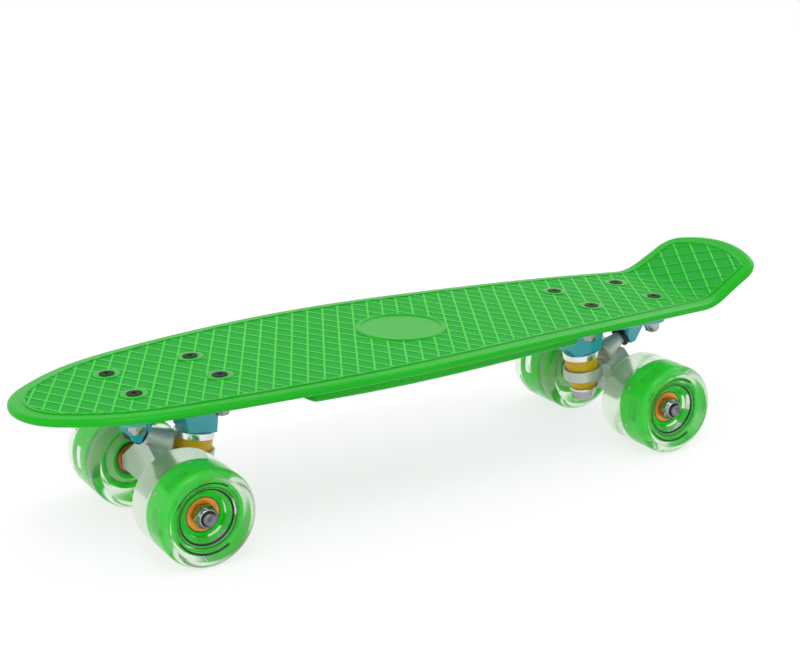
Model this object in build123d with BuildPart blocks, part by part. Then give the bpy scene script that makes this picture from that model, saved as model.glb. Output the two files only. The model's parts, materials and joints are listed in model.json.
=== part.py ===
from build123d import *
from math import asin, atan2, cos, degrees, radians, sin, sqrt, tan
import os

os.makedirs("parts", exist_ok=True)

# Frame: millimetres, +X to the nose, +Y to the rider's left, +Z up,
# origin on the ground below the middle of the deck.

# Wheels, bearings and axle
wheel_diameter = 60.0
wheel_width = 45.0
axle_diameter = 8.0
bearing_outer = 22.0
bearing_width = 7.0
bearing_gap = 10.0
inner_race_diameter = 12.0
running_gap = 0.05
shield_diameter = 18.0
shield_thickness = 0.4
shield_depth = 0.25
shield_gap = 0.25
speed_washer_thickness = 1.0
speed_washer_diameter = 11.0
axle_nut_size = 13.0
axle_nut_height = 6.5
axle_nut_collar = 2.08
nut_collar_step = 0.8
axle_end = 2.6
axle_chamfer = 0.8

# Wheel core and its lamp ring
hub_wall = 2.2
hub_shoulder = 1.2
hub_overhang = 0.3
drum_diameter = 48.0
drum_wall = 2.5
drum_inner_reach = 4.0
drum_outer_reach = 16.0
core_web = 3.0
slot_count = 6
slot_width = 13.0
lamp_diameter = 3.4
lamp_clearance = 0.2

# Trucks, seen in their own frame: origin on the axle, +X away from the board's middle
hanger_width = 76.0
truck_height = 52.0
kingpin_lean = 10.0
steer_lean = 33.0
ring_reach = 23.2
ring_rise = 10.8
ring_diameter = 26.8
ring_thickness = 7.6
ring_hole = 15.0
pivot_reach = 7.6
pivot_nose_diameter = 9.0
pivot_nose_length = 7.0
pivot_clearance = 0.08
cup_wall = 2.0
cup_lip = 2.2
kingpin_diameter = 9.5
kingpin_head = 15.0
kingpin_head_height = 5.5
kingpin_nut_size = 14.3
kingpin_nut_height = 8.0
kingpin_nut_collar = 2.56
kingpin_chamfer = 1.0
bushing_diameter = 23.4
bushing_upper_seat = 1.9
bushing_lower_seat = 1.5
bushing_cone_top = 20.6
bushing_cone_foot = 17.0
bushing_collar = 3.0
washer_thickness = 1.2
washer_rim = 4.4
washer_wall = 0.8
upper_washer_height = 16.0
lower_washer_depth = 10.6
lower_washer_diameter = 19.6
face_reach = 7.0
tube_diameter = 13.6
plate_length = 74.0
plate_width = 54.0
plate_thickness = 6.0
plate_corner = 8.0
boss_width = 21.5
boss_length = 20.0
housing_width = 16.0
bolt_grid_x = 53.98
bolt_grid_y = 41.28
bolt_offset = 8.4
bolt_diameter = 4.8
bolt_length = 25.4
bolt_head = 9.4
bolt_clearance = 0.2
hole_overrun = 1.0
cut_overrun = 1.0
nut_size = 9.5
nut_height = 5.9
nut_collar = 1.77
nut_step = 0.5
riser_thickness = 3.0

kingpin_head_gap = 1.6
kingpin_recess_gap = 0.5
kingpin_end = 1.0
washer_gap = 0.15
bushing_draw = 0.7
seat_gap = 0.5
plate_edge = 1.5
boss_draft = 1.5
boss_step = 1.0
arch_foot = 40.0
arch_end = 2.5
plate_heel = 2.0
housing_drop = 4.6
housing_heel = 4.0
housing_step = 0.5
cup_flange = 0.6
face_foot = 4.4
face_shoulder = 3.6
face_neck = 12.0
face_slope = 3.5
face_crown = 7.0
face_top = 25.0
face_back = 6.5
back_neck = 8.0
back_crown = 5.0
back_top = 17.0
back_shoulder = 5.0
cone_length = 17.0
cone_half = 9.0
neck_start = 8.0
neck_width = 15.0
neck_spread = 20.0
neck_end = 1.0
lip_diameter = 50.0
lip_flat = 0.8
slot_middle = 7.5
slot_length = 9.0
slot_corner = 2.0
lamp_middle = -1.2
lamp_ring = 3.4
lamp_ring_gap = 2.0
lamp_root = 4.0
web_start = 1.0
bolt_head_height = 2.3
drive_depth = 1.4
drive_length = 4.0
drive_width = 0.9

# Deck
deck_length = 530.0
deck_width = 150.0
deck_thickness = 9.0
skin_thickness = 8.5
wheelbase = 341.3
truck_middle = 7.9
truck_drop = 2.6
kick_angle = 28.5
kick_radius = 33.0
kick_start = 60.4
rim_radius = 3.6
nose_radius = 42.0
nose_arc = 50.0
tail_crown = 96.0
tail_corner = 16.0
border_inset = 8.4
border_width = 1.8
rib_height = 0.7
rib_root = 1.5
screw_ring_radius = 8.2
badge_diameter = 58.0
badge_ring = 3.0
badge_lift = 0.3
belly_depth = 14.0
belly_length = 200.0
belly_inset = 10.0
belly_wall = 4.0
belly_corner = 24.0
belly_edge = 3.0
belly_root = 0.6
belly_rib = 2.4
belly_rib_pitch = 34.0
belly_rib_angle = 61.5
pad_margin = 3.0

# Half widths of the deck outline, each at its distance from the nose or the tail
nose_stations = [(30.0, 44.0), (62.0, 57.8), (120.0, 68.5)]
widest_from_nose = 208.0
tail_stations = [(200.0, 67.0), (100.0, 56.2), (50.0, 49.2)]
tail_corner_half = 47.0
side_steps = 12

# Values that follow from the sizes above
axle_height = wheel_diameter / 2
nose_x = deck_length / 2
tail_x = -deck_length / 2
stack_start = hanger_width / 2 + speed_washer_thickness
wheel_middle = stack_start + bearing_width + bearing_gap / 2
stack_end = wheel_middle + bearing_gap / 2 + bearing_width + speed_washer_thickness
axle_length = 2 * (stack_end + axle_nut_height + axle_end)
hub_half = bearing_gap / 2 + bearing_width + hub_overhang
hub_outer = bearing_outer / 2 + hub_wall
drum_outer = drum_diameter / 2
drum_inner = drum_outer - drum_wall
web_end = web_start + core_web
pad_height = truck_height + riser_thickness
deck_top_height = pad_height + deck_thickness
bolt_middle = -bolt_offset


def spun(outline, seat):
    """Turn a closed outline (along the axis, away from it) about the seat's x direction."""
    with BuildPart() as piece:
        with BuildSketch(seat):
            with BuildLine():
                Polyline(*outline, close=True)
            make_face()
        revolve(axis=Axis(seat.origin, seat.x_dir))
    return piece


def write(solid, node):
    solid.label = node
    export_step(solid, f"parts/{node}.step")


# Deck side curve: a shallow camber circle, then the kick circle and a straight tail
camber_span = wheelbase / 2 - bolt_offset
camber_radius = camber_span ** 2 / (2 * truck_drop)
truck_tilt = degrees(asin(camber_span / camber_radius))
camber_top = axle_height + deck_top_height + truck_drop
camber_centre = (truck_middle, camber_top - camber_radius)
kick_start_x = tail_x + kick_start
kick_lean = asin((truck_middle - kick_start_x) / camber_radius)
kick_centre = (
    camber_centre[0] - (camber_radius + kick_radius) * sin(kick_lean),
    camber_centre[1] + (camber_radius + kick_radius) * cos(kick_lean),
)
kick_end = radians(kick_angle)


def camber_point(x, depth):
    reach = camber_radius - depth
    return (x, camber_centre[1] + sqrt(reach ** 2 - (x - camber_centre[0]) ** 2))


def kick_point(angle, depth):
    reach = kick_radius + depth
    return (kick_centre[0] - reach * sin(angle), kick_centre[1] - reach * cos(angle))


def deck_side(upper, lower, overrun=20.0):
    """Side face of the deck between two depths below its top curve."""
    bend = -kick_lean
    half_bend = (bend + kick_end) / 2
    lift = tan(kick_end)
    ends = []
    with BuildSketch(Plane.XZ) as side:
        with BuildLine():
            for depth in (upper, lower):
                start = kick_point(bend, depth)
                stop = kick_point(kick_end, depth)
                nose = camber_point(nose_x + overrun, depth)
                middle = camber_point((nose[0] + start[0]) / 2, depth)
                ThreePointArc(nose, middle, start)
                ThreePointArc(start, kick_point(half_bend, depth), stop)
                tip_x = tail_x - overrun
                tip = (tip_x, stop[1] + (stop[0] - tip_x) * lift)
                Line(stop, tip)
                ends.append((nose, tip))
            Line(ends[0][0], ends[1][0])
            Line(ends[0][1], ends[1][1])
        make_face()
    return side.sketch_local


# Plan outline: a round nose, a long curve down the side, a tail corner and a crowned tail
nose_turn = radians(nose_arc)
nose_centre = nose_x - nose_radius
crown_x = tail_x + tail_crown
corner_y = tail_corner_half - tail_corner
corner_x = crown_x - sqrt((tail_crown - tail_corner) ** 2 - corner_y ** 2)
corner_turn = atan2(corner_y, crown_x - corner_x)
side_curve = Spline(
    (nose_centre + nose_radius * cos(nose_turn), nose_radius * sin(nose_turn)),
    *[(nose_x - s, w) for s, w in nose_stations],
    (nose_x - widest_from_nose, deck_width / 2),
    *[(tail_x + s, w) for s, w in tail_stations],
    (corner_x, tail_corner_half),
    tangents=[(-sin(nose_turn), cos(nose_turn)), (-1, 0)], tangent_scalars=[1, 1],
)


def side_point(share, inset):
    """Point of the side curve at a share of its length, drawn in by the inset."""
    along = side_curve % share
    return side_curve @ share + Vector(-along.Y, along.X) * inset


def deck_outline(inset=0.0):
    """Plan outline of the deck, drawn in by an inset."""
    half_turn = (radians(90) + corner_turn) / 2
    corner_radius = tail_corner - inset
    crown_radius = tail_crown - inset
    sides = [side_point(step / side_steps, inset) for step in range(side_steps + 1)]
    corner_middle = (corner_x - corner_radius * cos(half_turn), corner_y + corner_radius * sin(half_turn))
    crown_start = (crown_x - crown_radius * cos(corner_turn), crown_radius * sin(corner_turn))

    def over(point):
        return (point[0], -point[1])

    with BuildSketch() as outline:
        with BuildLine():
            ThreePointArc(over(tuple(sides[0])), (nose_x - inset, 0), sides[0])
            side = Spline(*sides, tangents=[side_curve % 0, side_curve % 1], tangent_scalars=[1, 1])
            corner = ThreePointArc(sides[-1], corner_middle, crown_start)
            mirror(side, about=Plane.XZ)
            mirror(corner, about=Plane.XZ)
            ThreePointArc(crown_start, (tail_x + inset, 0), over(crown_start))
        make_face()
    return outline.sketch_local


def truck_plane(side):
    """Frame of a truck: +1 at the nose, -1 at the tail; its x points away from the middle."""
    tilt = radians(truck_tilt)
    seat_x = truck_middle + side * wheelbase / 2
    return Plane(
        origin=(seat_x, 0, axle_height),
        x_dir=(side * cos(tilt), 0, -sin(tilt)),
        z_dir=(side * sin(tilt), 0, cos(tilt)),
    )


trucks = {"front": truck_plane(1), "rear": truck_plane(-1)}


def on_truck(seat, height):
    """Plane parallel to a truck's base, centred on its bolt pattern."""
    origin = seat.from_local_coords(Vector(bolt_middle, 0, height))
    return Plane(origin=origin, x_dir=seat.x_dir, z_dir=seat.z_dir)


def on_rim(edge):
    """True for an edge that runs round the board, not across or through it."""
    span = edge @ 1 - edge @ 0
    crosses = edge.geom_type == GeomType.LINE and abs(span.X) < 0.01
    upright = abs(span.X) + abs(span.Y) < 0.01
    return not (crosses or upright)


def raised_band(face):
    """Low wall on the deck's top that follows its curve over a plan face."""
    with BuildPart() as band:
        with BuildSketch(Plane.XZ):
            add(deck_side(-rib_height, rib_root))
        extrude(amount=deck_width, both=True)
        with BuildSketch():
            add(face)
        extrude(amount=3 * camber_top, dir=(0, 0, 1), mode=Mode.INTERSECT)
    return band.part


with BuildSketch() as border_face:
    add(deck_outline(border_inset))
    add(deck_outline(border_inset + border_width), mode=Mode.SUBTRACT)

with BuildSketch() as badge_face:
    with Locations((truck_middle, 0)):
        Circle(badge_diameter / 2)
        Circle(badge_diameter / 2 - badge_ring, mode=Mode.SUBTRACT)

with BuildSketch() as screw_face:
    for seat in trucks.values():
        with Locations((on_truck(seat, deck_top_height).origin.X, 0)):
            with GridLocations(bolt_grid_x, bolt_grid_y, 2, 2):
                Circle(screw_ring_radius)

with BuildSketch() as belly_face:
    add(deck_outline(belly_inset))
    with Locations((truck_middle, 0)):
        RectangleRounded(belly_length, deck_width, belly_corner, mode=Mode.INTERSECT)

with BuildSketch() as belly_web:
    add(deck_outline(belly_inset + belly_wall))
    with Locations((truck_middle, 0)):
        RectangleRounded(
            belly_length - 2 * belly_wall, deck_width, belly_corner - belly_wall, mode=Mode.INTERSECT
        )

with BuildSketch() as belly_lattice:
    across = belly_rib_pitch * sin(radians(belly_rib_angle))
    count = int((belly_length + deck_width) / belly_rib_pitch) + 1
    for lean in (belly_rib_angle, -belly_rib_angle):
        with Locations(Location((truck_middle, 0), lean)):
            with GridLocations(1, across, 1, count):
                Rectangle(2 * belly_length, belly_rib)
    add(belly_web.sketch, mode=Mode.INTERSECT)

with BuildPart() as deck:
    # board: the side curve cut to the plan outline, with a round rim
    with BuildSketch(Plane.XZ):
        add(deck_side(0, skin_thickness))
    extrude(amount=deck_width, both=True)
    with BuildSketch():
        add(deck_outline())
    extrude(amount=3 * camber_top, dir=(0, 0, 1), mode=Mode.INTERSECT)
    fillet(deck.edges().filter_by(on_rim), rim_radius)
    # flat pads under the deck for the risers
    for seat in trucks.values():
        with BuildSketch(on_truck(seat, pad_height)):
            RectangleRounded(plate_length + 2 * pad_margin, plate_width + 2 * pad_margin,
                             plate_corner + pad_margin)
        extrude(amount=deck_thickness / 2)
    # belly between the trucks: a wall round crossing ribs
    with BuildSketch(Plane.XY.offset(camber_top - belly_depth)):
        add(belly_face.sketch)
    extrude(amount=belly_depth - skin_thickness / 2, dir=(0, 0, 1))
    foot = deck.faces().filter_by(Plane.XY).sort_by(Axis.Z)[0]
    fillet(foot.outer_wire().edges(), belly_edge)
    with BuildSketch(Plane.XY.offset(camber_top - belly_depth)):
        add(belly_web.sketch)
        add(belly_lattice.sketch, mode=Mode.SUBTRACT)
    extrude(amount=belly_depth - skin_thickness - belly_root, dir=(0, 0, 1), mode=Mode.SUBTRACT)
    # top: border rib, screw seats and badge ring
    add(raised_band(border_face.sketch))
    add(raised_band(screw_face.sketch))
    add(raised_band(badge_face.sketch))
    with BuildSketch(Plane.XY.offset(camber_top - rib_root)):
        with Locations((truck_middle, 0)):
            Circle((badge_diameter - badge_ring) / 2)
    extrude(amount=rib_root + badge_lift)
    # countersunk holes for the truck bolts
    for seat in trucks.values():
        with BuildSketch(on_truck(seat, pad_height - hole_overrun)):
            with GridLocations(bolt_grid_x, bolt_grid_y, 2, 2):
                Circle(bolt_diameter / 2 + bolt_clearance)
        extrude(amount=deck_thickness + 2 * hole_overrun, mode=Mode.SUBTRACT)
        with BuildSketch(on_truck(seat, deck_top_height + rib_height + hole_overrun)):
            with GridLocations(bolt_grid_x, bolt_grid_y, 2, 2):
                Circle(bolt_head / 2 + bolt_clearance + hole_overrun)
        extrude(amount=-(bolt_head - bolt_diameter) / 2 - hole_overrun, taper=45, mode=Mode.SUBTRACT)
write(deck.part, "deck")


# Truck pieces, each made once in the truck's own frame
def lean_plane(reach, rise, lean, outward):
    """Plane in the truck's side view; its local x runs along a leaning axis."""
    turn = radians(lean)
    along = (-sin(turn), 0, cos(turn)) if not outward else (cos(turn), 0, sin(turn))
    return Plane(origin=(reach, 0, rise), x_dir=along, z_dir=(0, -1, 0))


kingpin_axis = lean_plane(-ring_reach, ring_rise, kingpin_lean, outward=False)
steer_axis = lean_plane(-ring_reach, ring_rise, steer_lean, outward=True)
pivot_mouth = (pivot_reach + ring_reach) / cos(radians(steer_lean))
plate_foot = truck_height - plate_thickness
kingpin_top = (truck_height - ring_rise) / cos(radians(kingpin_lean)) - kingpin_head_gap
kingpin_tip = -lower_washer_depth - washer_thickness - kingpin_nut_height - kingpin_end
kingpin_shoulder = kingpin_top - kingpin_head_height
ring_top = ring_thickness / 2
upper_seat = ring_top - bushing_upper_seat
lower_seat = -ring_top + bushing_lower_seat
upper_face = upper_washer_height - washer_thickness
steer_end = pivot_mouth + pivot_nose_length
cup_bore = pivot_nose_diameter / 2 + pivot_clearance
cup_outer = cup_bore + cup_wall
cup_floor = steer_end + pivot_clearance
cup_end = cup_floor + cup_wall


def steer_point(along, off=0.0):
    """Point of the truck's side view, along the steering axis and off it, as (x, z)."""
    turn = radians(steer_lean)
    return (
        -ring_reach + along * cos(turn) - off * sin(turn),
        ring_rise + along * sin(turn) + off * cos(turn),
    )


def kingpin_point(along, off=0.0):
    """Point of the side view, up the kingpin and off it towards the axle, as (x, z)."""
    turn = radians(kingpin_lean)
    return (
        -ring_reach - along * sin(turn) + off * cos(turn),
        ring_rise + along * cos(turn) + off * sin(turn),
    )


def bolt_pattern(height):
    return Plane.XY.offset(height).shift_origin((bolt_middle, 0, height))


with BuildPart() as riser_pad:
    with BuildSketch(bolt_pattern(truck_height)):
        RectangleRounded(plate_length, plate_width, plate_corner)
        with GridLocations(bolt_grid_x, bolt_grid_y, 2, 2):
            Circle(bolt_diameter / 2 + bolt_clearance, mode=Mode.SUBTRACT)
    extrude(amount=riser_thickness)

with BuildPart() as baseplate:
    # mounting plate
    with BuildSketch(bolt_pattern(plate_foot)):
        RectangleRounded(plate_length, plate_width, plate_corner)
    extrude(amount=plate_thickness)
    fillet(baseplate.edges().group_by(Axis.Z)[0], plate_edge)
    # kingpin boss, arch and pivot housing in one side profile
    with BuildSketch(Plane.XZ):
        with BuildLine():
            boss_in = kingpin_point(upper_washer_height, -boss_length / 2)
            boss_out = kingpin_point(upper_washer_height, boss_length / 2 - boss_step)
            arch_start = (boss_out[0] + boss_draft, arch_foot)
            lip_top = steer_point(pivot_mouth + cup_lip, housing_width / 2 - housing_step)
            lip_foot = steer_point(pivot_mouth + cup_lip, -housing_drop)
            heel = (lip_foot[0] + housing_heel, lip_foot[1] + housing_heel / 3)
            top = plate_foot + plate_thickness / 2
            Polyline(
                (boss_in[0] - 2 * boss_draft, top), boss_in, boss_out, arch_start,
                (lip_top[0] - arch_end, arch_foot), lip_top, lip_foot, heel,
                (bolt_middle + plate_length / 2 - plate_heel, top), close=True,
            )
        make_face()
    extrude(amount=boss_width / 2, both=True)
    with BuildSketch(Plane.XY):
        with Locations((pivot_reach + plate_length / 2, 0)):
            Rectangle(plate_length, boss_width + 2 * cut_overrun)
            Rectangle(plate_length + 2 * cut_overrun, housing_width, mode=Mode.SUBTRACT)
    extrude(amount=plate_foot, mode=Mode.SUBTRACT)
    # bolt holes
    with BuildSketch(bolt_pattern(plate_foot)):
        with GridLocations(bolt_grid_x, bolt_grid_y, 2, 2):
            Circle(bolt_diameter / 2 + bolt_clearance)
    extrude(amount=plate_thickness, mode=Mode.SUBTRACT)
    # kingpin hole with a recess for its head
    head_recess = kingpin_head / 2 + kingpin_recess_gap
    with BuildSketch(kingpin_axis):
        with BuildLine():
            Polyline(
                (0, 0), (0, kingpin_diameter / 2), (kingpin_shoulder, kingpin_diameter / 2),
                (kingpin_shoulder, head_recess), (2 * kingpin_top, head_recess),
                (2 * kingpin_top, 0), close=True,
            )
        make_face()
    revolve(axis=Axis(kingpin_axis.origin, kingpin_axis.x_dir), mode=Mode.SUBTRACT)
    # socket for the pivot cup
    with BuildSketch(steer_axis):
        with BuildLine():
            Polyline((0, 0), (0, cup_outer), (cup_end, cup_outer), (cup_end, 0), close=True)
        make_face()
    revolve(axis=Axis(steer_axis.origin, steer_axis.x_dir), mode=Mode.SUBTRACT)

pivot_cup = spun(
    [
        (pivot_mouth, cup_bore), (pivot_mouth, cup_outer + cup_flange),
        (pivot_mouth + cup_lip, cup_outer + cup_flange), (pivot_mouth + cup_lip, cup_outer),
        (cup_end, cup_outer), (cup_end, 0), (cup_floor, 0), (cup_floor, cup_bore),
    ],
    steer_axis,
)

kingpin = spun(
    [
        (kingpin_tip, 0), (kingpin_tip, kingpin_diameter / 2 - kingpin_chamfer),
        (kingpin_tip + kingpin_chamfer, kingpin_diameter / 2), (kingpin_shoulder, kingpin_diameter / 2),
        (kingpin_shoulder, kingpin_head / 2), (kingpin_top, kingpin_head / 2), (kingpin_top, 0),
    ],
    kingpin_axis,
)

upper_washer_inside = bushing_diameter / 2 + washer_gap
washer_boardside = spun(
    [
        (upper_face, kingpin_diameter / 2), (upper_face, upper_washer_inside),
        (upper_washer_height - washer_rim, upper_washer_inside),
        (upper_washer_height - washer_rim, upper_washer_inside + washer_wall),
        (upper_washer_height - washer_wall, upper_washer_inside + washer_wall),
        (upper_washer_height, upper_washer_inside), (upper_washer_height, kingpin_diameter / 2),
    ],
    kingpin_axis,
)

lower_face = -lower_washer_depth
washer_roadside = spun(
    [
        (lower_face, kingpin_diameter / 2), (lower_face, lower_washer_diameter / 2),
        (lower_face - washer_thickness, lower_washer_diameter / 2),
        (lower_face - washer_thickness, kingpin_diameter / 2),
    ],
    kingpin_axis,
)

with BuildPart() as bushing_boardside:
    with BuildSketch(kingpin_axis):
        with BuildLine():
            waist = bushing_diameter / 2 - bushing_draw
            foot = (upper_seat, waist)
            head = (upper_face, waist)
            ThreePointArc(foot, ((upper_seat + upper_face) / 2, bushing_diameter / 2), head)
            Polyline(head, (upper_face, kingpin_diameter / 2), (upper_seat, kingpin_diameter / 2), foot)
        make_face()
    revolve(axis=Axis(kingpin_axis.origin, kingpin_axis.x_dir))

bushing_roadside = spun(
    [
        (lower_seat, kingpin_diameter / 2), (lower_seat, bushing_cone_top / 2),
        (lower_seat - bushing_collar, bushing_cone_top / 2), (lower_face, bushing_cone_foot / 2),
        (lower_face, kingpin_diameter / 2),
    ],
    kingpin_axis,
)

nut_face = lower_face - washer_thickness


def lock_nut(seat, size, height, collar, bore):
    """Hexagon nut with a round collar for its locking ring; stands on the seat's x y plane."""
    with BuildPart() as nut:
        with BuildSketch(seat):
            RegularPolygon(size / 2, 6, major_radius=False)
        extrude(amount=height - collar)
        with BuildSketch(seat.offset(height - collar)):
            Circle(size / 2 - nut_collar_step)
        extrude(amount=collar)
        with BuildSketch(seat):
            Circle(bore / 2)
        extrude(amount=height, mode=Mode.SUBTRACT)
    return nut


nut_seat = Plane(
    origin=kingpin_axis.origin + kingpin_axis.x_dir * nut_face,
    x_dir=(0, 1, 0), z_dir=-kingpin_axis.x_dir,
)
kingpin_nut = lock_nut(
    nut_seat, kingpin_nut_size, kingpin_nut_height, kingpin_nut_collar, kingpin_diameter
)

with BuildPart() as hanger:
    # beam round the axle
    with BuildSketch(Plane.XZ.offset(-hanger_width / 2)):
        Circle(tube_diameter / 2)
    extrude(amount=hanger_width)
    # wedge with the flat outer face
    with BuildSketch(Plane.YZ.offset(face_reach)):
        with BuildLine():
            half = hanger_width / 2
            Polyline(
                (-half, -face_foot), (half, -face_foot), (half, face_shoulder),
                (face_neck, face_top - face_slope), (face_crown, face_top),
                (-face_crown, face_top), (-face_neck, face_top - face_slope),
                (-half, face_shoulder), close=True,
            )
        make_face()
    with BuildSketch(Plane.YZ.offset(-face_back)):
        with BuildLine():
            Polyline(
                (-half, -face_foot), (half, -face_foot), (half, face_shoulder),
                (back_neck, back_top - back_shoulder), (back_crown, back_top),
                (-back_crown, back_top), (-back_neck, back_top - back_shoulder),
                (-half, face_shoulder), close=True,
            )
        make_face()
    loft()
    # pivot cone on the steering axis, ending in a ball nose
    with BuildSketch(steer_axis):
        with BuildLine():
            nose_half = pivot_nose_diameter / 2
            nose_start = (steer_end - nose_half, nose_half)
            nose_arc_middle = (steer_end - nose_half * (1 - cos(radians(45))), nose_half * sin(radians(45)))
            cone_foot = (pivot_mouth - cone_length, cone_half)
            Polyline((cone_foot[0], 0), cone_foot, (pivot_mouth - cut_overrun, nose_half), nose_start)
            ThreePointArc(nose_start, nose_arc_middle, (steer_end, 0))
            Line((steer_end, 0), (cone_foot[0], 0))
        make_face()
    revolve(axis=Axis(steer_axis.origin, steer_axis.x_dir))
    # neck between the bushing ring and the beam
    ring_plane = Plane(origin=kingpin_axis.origin, x_dir=(0, 1, 0), z_dir=kingpin_axis.x_dir)
    with BuildSketch(Plane.YZ.offset(-ring_reach + neck_start)):
        with Locations((0, ring_rise + neck_start * sin(radians(kingpin_lean)))):
            Rectangle(neck_width, ring_thickness)
    with BuildSketch(Plane.YZ.offset(-face_back + neck_end)):
        with BuildLine():
            Polyline(
                (-neck_spread, -face_foot), (neck_spread, -face_foot),
                (back_neck, back_top - neck_end), (-back_neck, back_top - neck_end), close=True,
            )
        make_face()
    loft()
    # bushing ring with a seat on each side
    with BuildSketch(ring_plane.offset(-ring_top)):
        Circle(ring_diameter / 2)
    extrude(amount=ring_thickness)
    with BuildSketch(kingpin_axis):
        with BuildLine():
            seat_upper = bushing_diameter / 2 - bushing_draw + seat_gap
            seat_lower = bushing_cone_top / 2 + seat_gap
            Polyline(
                (-2 * ring_top, 0), (-2 * ring_top, seat_lower), (lower_seat, seat_lower),
                (lower_seat, ring_hole / 2), (upper_seat, ring_hole / 2), (upper_seat, seat_upper),
                (2 * ring_top, seat_upper), (2 * ring_top, 0), close=True,
            )
        make_face()
    revolve(axis=Axis(kingpin_axis.origin, kingpin_axis.x_dir), mode=Mode.SUBTRACT)
    # bore for the axle
    with BuildSketch(Plane.XZ.offset(-hanger_width / 2)):
        Circle(axle_diameter / 2)
    extrude(amount=hanger_width, mode=Mode.SUBTRACT)

axle_line = Plane(origin=(0, 0, 0), x_dir=(0, 1, 0), z_dir=(0, 0, 1))
axle = spun(
    [
        (-axle_length / 2, 0), (-axle_length / 2, axle_diameter / 2 - axle_chamfer),
        (-axle_length / 2 + axle_chamfer, axle_diameter / 2),
        (axle_length / 2 - axle_chamfer, axle_diameter / 2),
        (axle_length / 2, axle_diameter / 2 - axle_chamfer), (axle_length / 2, 0),
    ],
    axle_line,
)


def ring(start, length, bore, outer):
    """Plain ring on the axle line, from one distance outwards."""
    return spun(
        [(start, bore / 2), (start, outer / 2), (start + length, outer / 2), (start + length, bore / 2)],
        axle_line,
    ).part


def grouped(pieces):
    """Separate solids as one piece."""
    with BuildPart() as group:
        for piece in pieces:
            add(piece)
    return group.part


def both_sides(*pieces):
    """Solids on the rider's left together with their copies on the right."""
    return grouped([*pieces, *[piece.mirror(Plane.XZ) for piece in pieces]])


bearing_starts = (stack_start, wheel_middle + bearing_gap / 2)

speed_washers = both_sides(
    ring(hanger_width / 2, speed_washer_thickness, axle_diameter, speed_washer_diameter),
    ring(stack_end - speed_washer_thickness, speed_washer_thickness, axle_diameter,
         speed_washer_diameter),
)
bearing_inner_races = both_sides(
    *[ring(start, bearing_width, axle_diameter, inner_race_diameter) for start in bearing_starts]
)
magnet_sleeves = both_sides(
    ring(wheel_middle - bearing_gap / 2, bearing_gap, axle_diameter, speed_washer_diameter)
)
nut_plane = Plane(origin=(0, stack_end, 0), x_dir=(1, 0, 0), z_dir=(0, 1, 0))
axle_nut = lock_nut(nut_plane, axle_nut_size, axle_nut_height, axle_nut_collar, axle_diameter)
axle_nuts = both_sides(axle_nut.part)

# Wheel pieces, in the truck's frame on the rider's left
with BuildPart() as tyre:
    with BuildSketch(axle_line):
        with BuildLine():
            face = wheel_middle + wheel_width / 2
            back = wheel_middle - wheel_width / 2
            lip = lip_diameter / 2
            tread = wheel_diameter / 2
            edge = tread - lip
            curve = edge * cos(radians(45))
            ThreePointArc((back, lip), (back + edge - curve, lip + curve), (back + edge, tread))
            Line((back + edge, tread), (face - edge, tread))
            ThreePointArc((face - edge, tread), (face - edge + curve, lip + curve), (face, lip))
            Polyline(
                (face, lip), (face, lip - lip_flat), (wheel_middle + hub_half, hub_outer),
                (wheel_middle + web_end, hub_outer), (wheel_middle + web_end, drum_inner),
                (wheel_middle + drum_outer_reach, drum_inner),
                (wheel_middle + drum_outer_reach, drum_outer),
                (wheel_middle - drum_inner_reach, drum_outer),
                (wheel_middle - drum_inner_reach, hub_outer), (wheel_middle - hub_half, hub_outer),
                (back, lip - lip_flat), (back, lip),
            )
        make_face()
    revolve(axis=Axis.Y)

with BuildPart() as core:
    with BuildSketch(axle_line):
        with BuildLine():
            seat_radius = bearing_outer / 2
            Polyline(
                (wheel_middle - hub_half, seat_radius), (wheel_middle - hub_half, hub_outer),
                (wheel_middle + web_start, hub_outer), (wheel_middle + web_start, drum_inner),
                (wheel_middle - drum_inner_reach, drum_inner),
                (wheel_middle - drum_inner_reach, drum_outer),
                (wheel_middle + drum_outer_reach, drum_outer),
                (wheel_middle + drum_outer_reach, drum_inner), (wheel_middle + web_end, drum_inner),
                (wheel_middle + web_end, hub_outer), (wheel_middle + hub_half, hub_outer),
                (wheel_middle + hub_half, seat_radius), (wheel_middle + bearing_gap / 2, seat_radius),
                (wheel_middle + bearing_gap / 2, seat_radius - hub_shoulder),
                (wheel_middle - bearing_gap / 2, seat_radius - hub_shoulder),
                (wheel_middle - bearing_gap / 2, seat_radius), close=True,
            )
        make_face()
    revolve(axis=Axis.Y)
    for turn in range(slot_count):
        angle = 360 / slot_count
        slot_face = Plane(
            origin=(0, wheel_middle + slot_middle, 0), x_dir=(0, 1, 0),
            z_dir=(cos(radians(turn * angle)), 0, sin(radians(turn * angle))),
        ).offset(drum_inner - cut_overrun)
        with BuildSketch(slot_face):
            RectangleRounded(slot_length, slot_width, slot_corner)
        extrude(amount=drum_wall + 2 * cut_overrun, mode=Mode.SUBTRACT)
        lamp_face = Plane(
            origin=(0, wheel_middle + lamp_middle, 0), x_dir=(0, 1, 0),
            z_dir=(cos(radians((turn + 0.5) * angle)), 0, sin(radians((turn + 0.5) * angle))),
        ).offset(drum_inner - cut_overrun)
        with BuildSketch(lamp_face):
            Circle(lamp_diameter / 2 + lamp_clearance)
        extrude(amount=drum_wall + 2 * cut_overrun, mode=Mode.SUBTRACT)

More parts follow.
